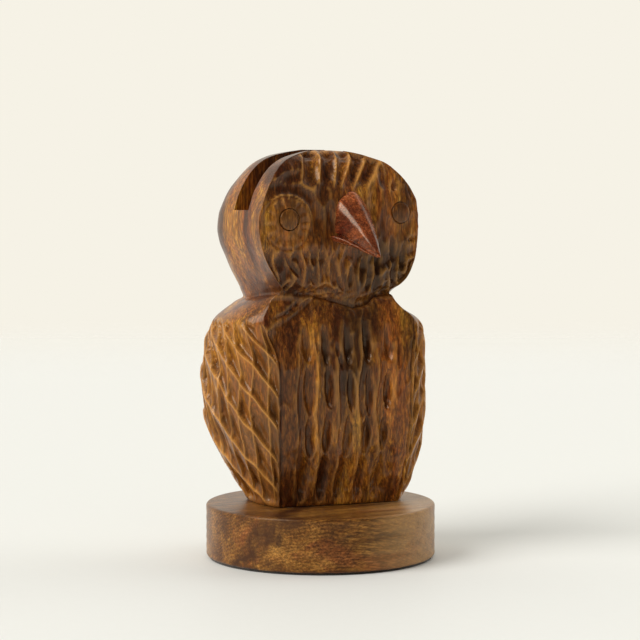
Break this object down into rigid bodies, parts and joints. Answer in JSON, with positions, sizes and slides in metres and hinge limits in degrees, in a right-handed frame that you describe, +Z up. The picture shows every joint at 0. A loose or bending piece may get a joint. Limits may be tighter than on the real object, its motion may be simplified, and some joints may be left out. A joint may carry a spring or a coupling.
{
  "type": "eyeglasses display stand",
  "caption": "Carved wooden owl on a round turned base; folded glasses sit in a slot across the head with their bridge resting over the beak.",
  "frame": {"origin": "centre of the underside of the round base, on the table", "axes": "+Z up; the owl's face and the front wall of the slot face -Y; +X is to the right of someone who looks at the face"},
  "size_m": [0.0865, 0.0846, 0.15],
  "materials": {
    "body_wood": "satin varnish, brown hardwood with dark streaks, upright grain",
    "beak_wood": "glossy varnish, reddish hardwood showing end grain",
    "plug_wood": "satin varnish, end-grain dowel",
    "base_wood": "satin varnish, brown hardwood, flat figured grain",
    "felt": "thin dark felt",
    "screw_steel": "zinc-plated steel"
  },
  "bodies": {
    "root": {"owl_carving": "body_wood", "beak_peg": "beak_wood", "eye_plug_left": "plug_wood", "eye_plug_right": "plug_wood", "base_plinth": "base_wood", "felt_pad": "felt", "fixing_screw_left": "screw_steel", "fixing_screw_right": "screw_steel"}
  },
  "joints": []
}
